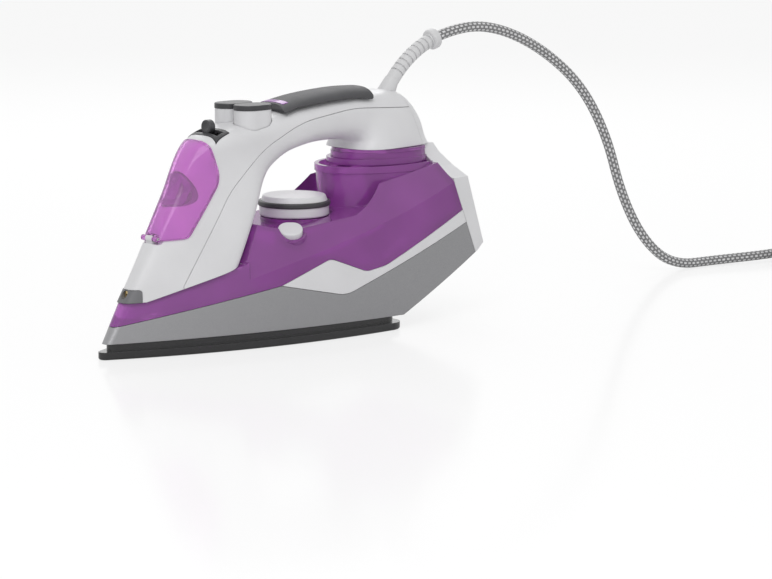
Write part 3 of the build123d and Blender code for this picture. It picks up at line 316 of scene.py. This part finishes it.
def braided(name, thread, fleck):
    """Braid in two shades: offset rows of pale flecks on darker thread."""
    shade = Shader(name, thread, 0.75, Sheen_Weight=0.25)
    place = shade.add("ShaderNodeUVMap", uv_map="weave")
    spread = shade.add("ShaderNodeMapping")
    spread.inputs["Scale"].default_value = (1 / DASH_LENGTH, DASH_ROWS, 1.0)
    rows = shade.add("ShaderNodeTexBrick", offset=0.5, offset_frequency=2)
    rows.inputs["Color1"].default_value = (*fleck, 1.0)
    rows.inputs["Color2"].default_value = (*(part * 0.82 for part in fleck), 1.0)
    rows.inputs["Mortar"].default_value = (*thread, 1.0)
    rows.inputs["Scale"].default_value = 1.0
    rows.inputs["Mortar Size"].default_value = 0.24
    rows.inputs["Mortar Smooth"].default_value = 0.35
    rows.inputs["Brick Width"].default_value = 1.0
    rows.inputs["Row Height"].default_value = 1.0
    shade.link(place.outputs["UV"], spread.inputs["Vector"])
    shade.link(spread.outputs["Vector"], rows.inputs["Vector"])
    shade.link(rows.outputs["Color"], shade.surface.inputs["Base Color"])
    invert = shade.add("ShaderNodeInvert")
    shade.link(rows.outputs["Fac"], invert.inputs["Color"])
    shade.relief(invert.outputs["Color"], 0.00035)
    return shade.material


def finishes():
    """One material for each slot of the record."""
    return {
        "white_plastic": moulded("white_plastic", (0.80, 0.80, 0.815), 0.34),
        "plug_white": moulded("plug_white", (0.80, 0.80, 0.815), 0.40),
        "sleeve_white": moulded("sleeve_white", (0.76, 0.76, 0.77), 0.52, grain=900.0, depth=0.00004),
        "ceramic_white": moulded("ceramic_white", (0.78, 0.76, 0.70), 0.45),
        "tank_purple": tinted("tank_purple", (0.56, 0.16, 0.62), 0.04, 0.6),
        "lens_purple": tinted("lens_purple", (0.42, 0.10, 0.55), 0.10, 0.3),
        "lamp_glass": tinted("lamp_glass", (0.85, 0.45, 0.20), 0.05),
        "silver_skirt": metallic_paint("silver_skirt", (0.32, 0.32, 0.33), 0.38),
        "sole_coating": coated_sole("sole_coating", (0.008, 0.008, 0.009)),
        "grip_rubber": moulded("grip_rubber", (0.055, 0.055, 0.060), 0.58, grain=1700.0, depth=0.00008,
                               swing=0.12),
        "dark_plastic": moulded("dark_plastic", (0.050, 0.050, 0.054), 0.42, swing=0.12),
        "grey_plastic": moulded("grey_plastic", (0.17, 0.17, 0.18), 0.38, swing=0.06),
        "silicone": moulded("silicone", (0.62, 0.62, 0.63), 0.55),
        "wire_cover": moulded("wire_cover", (0.10, 0.13, 0.30), 0.6),
        "cast_aluminium": bare_metal("cast_aluminium", (0.60, 0.60, 0.61), 0.5),
        "plain_steel": bare_metal("plain_steel", (0.56, 0.56, 0.57), 0.3),
        "spring_steel": bare_metal("spring_steel", (0.50, 0.50, 0.51), 0.28),
        "brass_parts": bare_metal("brass_parts", (0.75, 0.56, 0.26), 0.28),
        "cord_braid": braided("cord_braid", (0.22, 0.22, 0.225), (0.88, 0.88, 0.89)),
    }


def dress(materials):
    """Every CAD node takes the material of its slot; the door is a paler, clearer purple."""
    for piece in frame["record"]["subparts"]:
        mesh = nodes[piece["node"]].data
        mesh.materials.clear()
        mesh.materials.append(materials[piece["material_slot"]])
    door = nodes["filler_door"].data
    door.materials[0] = tinted("door_purple", (0.97, 0.46, 1.0), 0.02, 0.82)


def area_light(name, place, size, power):
    """Soft rectangular lamp that looks at the iron, not seen through the clear plastic."""
    data = bpy.data.lights.new(name, "AREA")
    data.shape = "RECTANGLE"
    data.size = size[0]
    data.size_y = size[1]
    data.energy = power
    lamp = bpy.data.objects.new(name, data)
    lamp.location = place
    aim = Vector(place) - Vector(LAMP_TARGET)
    lamp.rotation_euler = aim.to_track_quat("Z", "Y").to_euler()
    lamp.visible_transmission = False
    scene.collection.objects.link(lamp)


def seen_directly(tree, *kinds):
    """1 for rays from the camera and rays of the named kinds, else 0."""
    path = tree.nodes.new("ShaderNodeLightPath")
    total = path.outputs["Is Camera Ray"]
    for kind in kinds:
        either = tree.nodes.new("ShaderNodeMath")
        either.operation = "MAXIMUM"
        tree.links.new(total, either.inputs[0])
        tree.links.new(path.outputs[kind], either.inputs[1])
        total = either.outputs["Value"]
    return total


def surroundings():
    """White world, seen as white and dimmer as light."""
    world = bpy.data.worlds.new("studio")
    scene.world = world
    world.use_nodes = True
    tree = world.node_tree
    back = tree.nodes["Background"]
    back.inputs["Color"].default_value = (1, 1, 1, 1)
    strength = tree.nodes.new("ShaderNodeMapRange")
    strength.inputs["To Min"].default_value = WORLD_STRENGTH
    strength.inputs["To Max"].default_value = WORLD_SEEN_STRENGTH
    seen = seen_directly(tree, "Is Glossy Ray", "Is Transmission Ray")
    tree.links.new(seen, strength.inputs["Value"])
    tree.links.new(strength.outputs["Result"], back.inputs["Strength"])


def floor():
    """Pale floor that keeps the shadow and a weak mirror image."""
    bpy.ops.mesh.primitive_plane_add(size=FLOOR_SIZE, location=FLOOR_CENTRE)
    plane = bpy.context.object
    plane.name = "floor"
    material = bpy.data.materials.new("floor")
    material.use_nodes = True
    tree = material.node_tree
    tree.nodes.clear()
    matte = tree.nodes.new("ShaderNodeBsdfDiffuse")
    matte.inputs["Color"].default_value = (*FLOOR_PAINT, 1)
    glow = tree.nodes.new("ShaderNodeEmission")
    glow.inputs["Strength"].default_value = FLOOR_GLOW
    pale = tree.nodes.new("ShaderNodeMixShader")
    share = tree.nodes.new("ShaderNodeMath")
    share.operation = "MULTIPLY"
    share.inputs[1].default_value = FLOOR_WHITE
    tree.links.new(seen_directly(tree, "Is Transmission Ray"), share.inputs[0])
    tree.links.new(share.outputs["Value"], pale.inputs["Fac"])
    tree.links.new(matte.outputs["BSDF"], pale.inputs[1])
    tree.links.new(glow.outputs["Emission"], pale.inputs[2])
    mirror = tree.nodes.new("ShaderNodeBsdfGlossy")
    mirror.inputs["Roughness"].default_value = FLOOR_GLOSS_ROUGHNESS
    both = tree.nodes.new("ShaderNodeMixShader")
    both.inputs["Fac"].default_value = FLOOR_GLOSS
    tree.links.new(pale.outputs["Shader"], both.inputs[1])
    tree.links.new(mirror.outputs["BSDF"], both.inputs[2])
    out = tree.nodes.new("ShaderNodeOutputMaterial")
    tree.links.new(both.outputs["Shader"], out.inputs["Surface"])
    plane.data.materials.append(material)


camera()
materials = finishes()
dress(materials)
cord(materials["cord_braid"])
surroundings()
floor()
area_light("key", KEY_PLACE, KEY_SIZE, KEY_POWER)
area_light("rear", REAR_PLACE, REAR_SIZE, REAR_POWER)
scene.view_settings.view_transform = "Standard"
